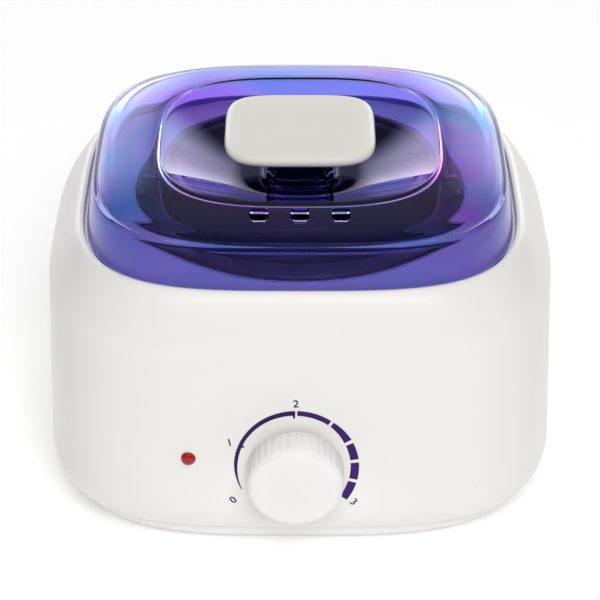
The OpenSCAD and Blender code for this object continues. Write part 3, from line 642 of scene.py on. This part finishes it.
def make_lid():
    """Clear shell: inside from the stem down to the skirt's foot, then outside back up to the stem's top."""
    low, stem_top, t = LID_LOW.z, LID_HIGH.z, LID_T
    outside = grown(LID_A, LID_B, LID_N, (-0.35, low), (0, low + 0.35), (-0.4, SKIRT_Z))
    outside += [(EDGE_A + 2.4, EDGE_B + 2.3, LID_N - 0.04, 122)]
    outside += grown(
        EDGE_A, EDGE_B, EDGE_N, (1.35, EDGE_Z - 2.4), (1.1, EDGE_Z - 1.4), (0.7, EDGE_Z - 0.5), (0, EDGE_Z),
    )
    outside += [(EDGE_A - 1.4, EDGE_B - 1.3, EDGE_N, EDGE_Z + 0.55)]
    outside += [lid_top(u) for u in (0.15, 0.3, 0.5, 0.65, 0.8)]
    outside += grown(BOWL_A, BOWL_B, BOWL_N, (1, BOWL_Z - 0.1), (0.3, BOWL_Z), (-0.1, BOWL_Z - 0.1))
    outside += [dish(u) for u in (0, 0.07, 0.16, 0.28, 0.4, 0.52, 0.64, 0.76, 0.88, 1)]
    outside += [(STEM_A + 5, STEM_B + 5, 3.4, FLOOR_Z), (STEM_A + 1.8, STEM_B + 1.8, 4, FLOOR_Z + 0.1)]
    outside += grown(
        STEM_A, STEM_B, STEM_N,
        (0.5, FLOOR_Z + 1), (0.2, FLOOR_Z + 2.4), (0, stem_top - 0.4), (-0.4, stem_top),
    )
    inside = grown(
        STEM_A - t, STEM_B - t, STEM_N,
        (-0.4, stem_top - t), (0, stem_top - t - 0.4), (0.3, FLOOR_Z - t + 0.4), (0.7, FLOOR_Z - t),
    )
    inside += [(STEM_A + 5, STEM_B + 5, 3.2, FLOOR_Z - t)]
    inside += [dish(u, t) for u in (1, 0.85, 0.7, 0.55, 0.4, 0.27, 0.17)]
    inside += [(BOWL_A + 0.9, BOWL_B + 0.9, BOWL_N, BOWL_Z - t - 0.6)]
    inside += [lid_top(u, t + 0.2) for u in (0.9, 0.6, 0.3)]
    inside += grown(
        EDGE_A - t, EDGE_B - t, EDGE_N, (0, EDGE_Z + 0.4 - t), (0.2, EDGE_Z - 0.6 - t), (1, EDGE_Z - 2.2 - t),
    )
    inside += grown(LID_A - t, LID_B - t, LID_N, (-0.4, SKIRT_Z), (0, low + 0.35), (0.35, low))
    stations = spline(inside, 4) + spline(outside, 4)
    shell = loft("lid", [squircle(*station) for station in stations])
    vents = [slot_cutter(i * VENT_PITCH, VENT_Y, 7, 6, 120, 145, 1.2) for i in (-1, 0, 1)]
    return combine("lid", [shell, *vents], "DIFFERENCE")


piece("lid", make_lid(), violet, "lid", "lid_shell")


def make_grip():
    """Grip plate: a hollow below, and a slightly crowned face whose outline gets rounder inwards."""
    a, b, low, top = GRIP_HIGH.x, GRIP_HIGH.y, GRIP_LOW.z, GRIP_HIGH.z
    outside = [(-1.5, low), (-0.9, low + 0.15), (-0.3, low + 0.8), (0, low + 1.9), (-0.15, top - 2.0)]
    outside += [(-0.5, top - 1.35), (-1.2, top - 0.8), (-2.6, top - 0.4)]
    outside += [(-10, top - 0.12), (-18, top - 0.03), (-24, top)]
    hollow = grown(a, b, GRIP_N, (-3.6, top - 2.6), (-2.8, top - 3.0), (-2.5, low))
    rings = [squircle(*station) for station in spline(hollow, 3)]
    rings += [squircle(a + g, b + g, GRIP_N - max(0, -g - 4) * 0.07, z) for g, z in spline(outside, 4)]
    return loft("grip", rings)


piece("lid_grip", make_grip(), white_grip, "lid", "lid_grip_plate")


# ---------------------------------------------------------------- pot

def make_pot():
    """The pot's section follows its CAD solid, with a soft corner and a rolled edge on its flange."""
    r, sheet, corner, roll = 55, 1.2, 7, 0.6
    top, floor, flange = POT_HIGH.z, POT_LOW.z + sheet, POT_HIGH.x
    out = corner + sheet
    section = arc(r + sheet, top - sheet, sheet, sheet, range(90, 181, 15))
    section += arc(r - corner, floor + corner, corner, corner, range(0, -91, -9))
    section += [(0.4, floor), (0.4, floor - sheet)]
    section += arc(r - corner, floor + corner, out, out, range(-90, 1, 9))
    section += [(r + sheet, top - sheet)]
    section += arc(flange - roll, top - roll, roll, roll, range(-90, 91, 30))
    return lathe("wax_pot_body", section)


piece("pot", make_pot(), pot_metal, "pot", "wax_pot")


# ---------------------------------------------------------------- dial, scale and lamp

def make_knob():
    """Fluted knob with a well rounded edge to its slightly dished face, and a hub over the shaft."""
    back, face = KNOB_HIGH.y, KNOB_LOW.y
    flutes, depth, wall, face_t, rounding = 36, 0.3, 2.4, 2.5, 3.4
    count = flutes * 12

    def ring(r, y, fluted=1.0):
        points = []
        for i in range(count):
            t = 2 * math.pi * i / count
            groove = r - depth * fluted * (0.5 + 0.5 * math.cos(t * flutes)) ** 2
            points.append((DIAL_X + groove * math.cos(t), y, DIAL_Z + groove * math.sin(t)))
        return points

    rings = [ring(KNOB_R - wall, face + face_t, 0), ring(KNOB_R - wall, back, 0)]
    rings += [ring(KNOB_R - 0.3, back, 0.6), ring(KNOB_R, back - 0.4)]
    rings += [ring(KNOB_R, (back + face) / 2), ring(KNOB_R, face + rounding + 0.6)]
    for degrees in range(0, 91, 9):
        t = math.radians(degrees)
        edge = KNOB_R - 0.1 - rounding * (1 - math.cos(t))
        rings.append(ring(edge, face + rounding * (1 - math.sin(t)), max(0.0, 1 - 2.2 * math.sin(t))))
    dished = ((KNOB_R - rounding - 2, 0.02), (KNOB_R - 9, 0.12), (4, 0.2))
    rings += [ring(r, face + depth_in, 0) for r, depth_in in dished]
    mesh = loft("knob", rings)
    section = [(3.05, face + face_t), (5.6, face + face_t), (5.6, face + 10.1), (3.05, face + 10.1)]
    join(mesh, lathe("hub", section, "Y", (DIAL_X, 0, DIAL_Z), 64))
    return mesh


piece("knob", make_knob(), white_knob_painted_light, "dial", "dial_knob")


SCALE_R = 22.8
SCALE_STRETCH = 1.1
TICK_WIDTH = 0.9
DIGIT_SIZE, DIGIT_WEIGHT = 4.554, 0.07
INK_PROUD, INK_SUNK = 0.06, 0.05


def on_wall(radius, degrees):
    """Point of the front wall on the printed scale, a little taller than wide; degrees run clockwise."""
    t = math.radians(degrees)
    return DIAL_X + radius * math.sin(t), DIAL_Z + 0.2 + radius * SCALE_STRETCH * math.cos(t)


def printed(name, mat, columns):
    """Thin layer of ink that follows the front wall. columns are rows of (x, z) points of equal length."""
    rings = []
    for column in columns:
        proud = [(x, wall_y(x, z) - INK_PROUD, z) for x, z in column]
        sunk = [(x, wall_y(x, z) + INK_SUNK, z) for x, z in reversed(column)]
        rings.append(proud + sunk)
    piece(name, loft(name, rings), mat, "root")


def arc_columns(start, end, width_start, width_end):
    """Stretch of the scale between two angles, with a width at each end."""
    steps = max(4, int(abs(end - start) / 3))
    columns = []
    for k in range(steps + 1):
        share = k / steps
        angle = start + (end - start) * share
        half = (width_start + (width_end - width_start) * share) / 2
        columns.append([on_wall(SCALE_R + half * (1 - 2 * j / 3), angle) for j in range(4)])
    return columns


def tick_columns(angle, inner):
    """Tick that points inwards from the scale's line."""
    half = math.degrees(TICK_WIDTH / 2 / SCALE_R)
    radii = [inner + (SCALE_R - inner) * j / 3 for j in range(4)]
    return [[on_wall(radius, angle + side * half) for radius in radii] for side in (-1, 1)]


def make_scale():
    """A line that widens from its start, two ticks, and five blocks that widen to the hot end."""
    for k, stretch in enumerate(((-115, -86, 0.3, 1.4), (-86, 0, 1.4, 1.95))):
        printed(f"scale_line_{k + 1}", ink_dark, arc_columns(*stretch))
    for k, tick in enumerate(((-66.5, 21.3), (-1.2, 20.7))):
        printed(f"scale_tick_{k + 1}", ink_dark, tick_columns(*tick))
    stops = [(1.8, 34.7, 2.0, 2.1), (37.6, 61.3, 2.1, 3.1), (64.8, 82, 3.1, 3.25)]
    stops += [(85.3, 103, 3.25, 3.3), (106.3, 125.6, 3.3, 3.3)]
    for k, stop in enumerate(stops):
        printed(f"scale_block_{k + 1}", ink, arc_columns(*stop))


def digit(text, angle, radius, tilt):
    """A printed digit, laid on the front wall."""
    curve = bpy.data.curves.new("digit", "FONT")
    curve.body = text
    curve.align_x = "CENTER"
    curve.align_y = "CENTER"
    curve.size = DIGIT_SIZE
    curve.resolution_u = 6
    curve.offset = DIGIT_WEIGHT
    source = bpy.data.objects.new("digit", curve)
    bpy.context.scene.collection.objects.link(source)
    bpy.context.view_layer.update()
    mesh = bpy.data.meshes.new_from_object(source.evaluated_get(bpy.context.evaluated_depsgraph_get()))
    bpy.data.objects.remove(source)
    bm = bmesh.new()
    bm.from_mesh(mesh)
    bmesh.ops.remove_doubles(bm, verts=bm.verts, dist=1e-4)
    for v in bm.verts:
        v.co.z = 0
    made = bmesh.ops.extrude_face_region(bm, geom=list(bm.faces))
    raised = {v for v in made["geom"] if isinstance(v, bmesh.types.BMVert)}
    x0, z0 = on_wall(radius, angle)
    turn = math.radians(-tilt)
    for v in bm.verts:
        x = x0 + v.co.x * math.cos(turn) - v.co.y * math.sin(turn)
        z = z0 + v.co.x * math.sin(turn) + v.co.y * math.cos(turn)
        v.co = mm(x, wall_y(x, z) + (-INK_PROUD if v in raised else INK_SUNK), z)
    bmesh.ops.recalc_face_normals(bm, faces=bm.faces)
    bm.to_mesh(mesh)
    bm.free()
    piece(f"scale_digit_{text}", mesh, ink_dark, "root")


make_scale()
digit("0", -121, 28, -40)
digit("1", -67.6, 27, -12)
digit("2", 0.6, 26.6, 0)
digit("3", 124, 27.2, 40)


def make_lens():
    """Domed lens with a rim, on a hollow neck that goes through the wall."""
    front, seat, back = LENS_LOW.y, LENS_HIGH.y - 7, LENS_HIGH.y
    r, neck, bore, rim = LENS_HIGH.x - LAMP_X, 2.5, 1.9, 0.9
    section = arc(0, seat - rim, r, front - seat + rim, range(88, -1, -8))
    section += [(r, seat), (neck, seat), (neck, back), (bore, back), (bore, seat + 0.4), (0.05, seat + 0.4)]
    return lathe("lens", section, "Y", (LAMP_X, 0, LAMP_Z), 64)


piece("lamp_lens", make_lens(), red_clear, "root", "indicator_lens")


# ---------------------------------------------------------------- CAD nodes that stay

def dress(mat, *nodes):
    """Gives CAD nodes their material and smooth shading."""
    for node in nodes:
        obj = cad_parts[node]
        obj.data.materials.clear()
        obj.data.materials.append(mat)
        obj.data.shade_smooth()
        obj.data.set_sharp_from_angle(angle=math.radians(30))


dress(steel, "base_screws", "strap_screws", "cord_clamp_screws", "lid_grip_screws", "terminal_screws")
dress(steel, "terminal_block_screw", "well_strap", "well_nut", "heater_clamp_bolt", "heater_terminals")
dress(steel, "thermostat_nut", "thermostat_terminals", "thermostat_shaft", "fuse_clip", "lamp_push_nut")
dress(lug_steel, "pot_lugs", "pot_rivets", "bail_handle")
dress(wire_steel, "thermal_fuse")
dress(well_metal, "heating_well")
dress(mica, "heater_band")
dress(felt, "heater_blanket")
dress(ceramic, "thermostat_body", "terminal_block")
dress(brass, "thermostat_bushing")
dress(rubber, "rubber_feet")
dress(gland_rubber, "cord_gland")
dress(white_tray_painted_light, "cord_clamp")
dress(glass, "neon_lamp")
for node, colour in wires.items():
    dress(coarse(node + "_cover", colour, 0.5, 900, 0.1), node)


# ---------------------------------------------------------------- camera, light and floor

CAMERA_TARGET = mm(0, 0, 59.2)
CAMERA_RISE = math.radians(34.28)
CAMERA_DISTANCE = 0.8493
CAMERA_LENS = 123
SUN_FROM, SUN_POWER, SUN_SPREAD = Vector((0.13, -0.8, 1)), 2.05, math.radians(42)
STRIP_PLACE, STRIP_AIM, STRIP_POWER = Vector((0, -0.75, 0.75)), Vector((0, 0, 0.1)), 1.2
FLOOR_HALF, FLOOR_GLOW = 3.0, 0.13
WORLD_STRENGTH, PANEL_GAIN = 1.1, 2.5


def make_camera():
    data = bpy.data.cameras.new("camera")
    data.sensor_width = 36
    data.lens = CAMERA_LENS
    camera = bpy.data.objects.new("camera", data)
    back = Vector((0, -math.cos(CAMERA_RISE), math.sin(CAMERA_RISE)))
    camera.location = CAMERA_TARGET + back * CAMERA_DISTANCE
    camera.rotation_euler = back.to_track_quat("Z", "Y").to_euler()
    bpy.context.scene.collection.objects.link(camera)
    bpy.context.scene.camera = camera


def make_strip():
    """Long lamp above the front, which lights the front wall."""
    data = bpy.data.lights.new("strip", "AREA")
    data.shape = "RECTANGLE"
    data.size, data.size_y = 0.9, 0.05
    data.energy = STRIP_POWER
    light = bpy.data.objects.new("strip", data)
    light.location = STRIP_PLACE
    light.rotation_euler = (STRIP_PLACE - STRIP_AIM).to_track_quat("Z", "Y").to_euler()
    bpy.context.scene.collection.objects.link(light)


def make_floor():
    """Pale floor with a little light of its own, like a light table."""
    mesh = bpy.data.meshes.new("floor")
    half = FLOOR_HALF
    corners = [(-half, -half, 0), (half, -half, 0), (half, half, 0), (-half, half, 0)]
    mesh.from_pydata(corners, [], [(0, 1, 2, 3)])
    floor = bpy.data.objects.new("floor", mesh)
    bpy.context.scene.collection.objects.link(floor)
    mat = material(
        "floor_white", (0.96, 0.96, 0.96), 0.8, Emission_Color=(1, 1, 1, 1), Emission_Strength=FLOOR_GLOW,
    )
    vary_roughness(mat, grain(mat, 8, 2), 0.75, 0.85)
    mesh.materials.append(mat)


def make_world():
    """Studio walls: bright low down and dim overhead, with dark sides and two bright panels at the back."""
    world = bpy.data.worlds.new("studio")
    bpy.context.scene.world = world
    world.use_nodes = True
    tree = world.node_tree
    place = tree.nodes.new("ShaderNodeTexCoord")
    split = tree.nodes.new("ShaderNodeSeparateXYZ")
    tree.links.new(place.outputs["Generated"], split.inputs["Vector"])

    def levels(axis, low, high, stops):
        """Brightness along one axis of the direction, as stops of (value along the axis, level)."""
        spread = tree.nodes.new("ShaderNodeMapRange")
        spread.inputs["From Min"].default_value = low
        spread.inputs["From Max"].default_value = high
        ramp = tree.nodes.new("ShaderNodeValToRGB")
        for place_on_axis, level in stops:
            stop = ramp.color_ramp.elements.new((place_on_axis - low) / (high - low))
            stop.color = (level, level, level, 1)
        ramp.color_ramp.elements.remove(ramp.color_ramp.elements[0])
        ramp.color_ramp.elements.remove(ramp.color_ramp.elements[-1])
        tree.links.new(split.outputs[axis], spread.inputs["Value"])
        tree.links.new(spread.outputs["Result"], ramp.inputs["Fac"])
        return ramp.outputs["Color"]

    def times(a, b):
        product = tree.nodes.new("ShaderNodeMath")
        product.operation = "MULTIPLY"
        tree.links.new(a, product.inputs[0])
        tree.links.new(b, product.inputs[1])
        return product.outputs["Value"]

    height = levels("Z", 0, 1, ((0.0, 1.0), (0.3, 0.85), (0.55, 0.25), (1.0, 0.12)))
    depth = levels("Y", -1, 1, ((-0.9, 0.3), (0.0, 0.5), (0.9, 1.0)))
    sides = levels("X", -1, 1, (
        (-0.85, 0.12), (-0.5, 0.12), (-0.25, 1), (0.25, 1), (0.55, 0.15), (0.9, 0.12),
    ))
    panel_height = levels("Z", 0, 1, ((0.0, 1.0), (0.2, 1.0), (0.45, 0.45), (0.65, 0.0)))
    panel_depth = levels("Y", -1, 1, ((0.4, 0.0), (0.65, 1.0)))
    panel_sides = levels("X", -1, 1, (
        (-0.7, 0), (-0.58, 1), (-0.25, 1), (-0.09, 0), (0.09, 0), (0.25, 1), (0.58, 1), (0.7, 0),
    ))
    walls = times(times(height, depth), sides)
    panels = times(times(panel_height, panel_depth), panel_sides)
    total = tree.nodes.new("ShaderNodeMath")
    total.operation = "MULTIPLY_ADD"
    tree.links.new(panels, total.inputs[0])
    total.inputs[1].default_value = PANEL_GAIN
    tree.links.new(walls, total.inputs[2])
    tree.links.new(total.outputs["Value"], tree.nodes["Background"].inputs["Color"])
    tree.nodes["Background"].inputs["Strength"].default_value = WORLD_STRENGTH


def make_sun():
    """Wide soft sun from the front, not seen in reflections."""
    data = bpy.data.lights.new("sun", "SUN")
    data.energy = SUN_POWER
    data.angle = SUN_SPREAD
    sun = bpy.data.objects.new("sun", data)
    sun.rotation_euler = SUN_FROM.to_track_quat("Z", "Y").to_euler()
    sun.visible_glossy = False
    bpy.context.scene.collection.objects.link(sun)


make_camera()
make_floor()
make_world()
make_sun()
make_strip()
bpy.context.scene.view_settings.view_transform = "Standard"
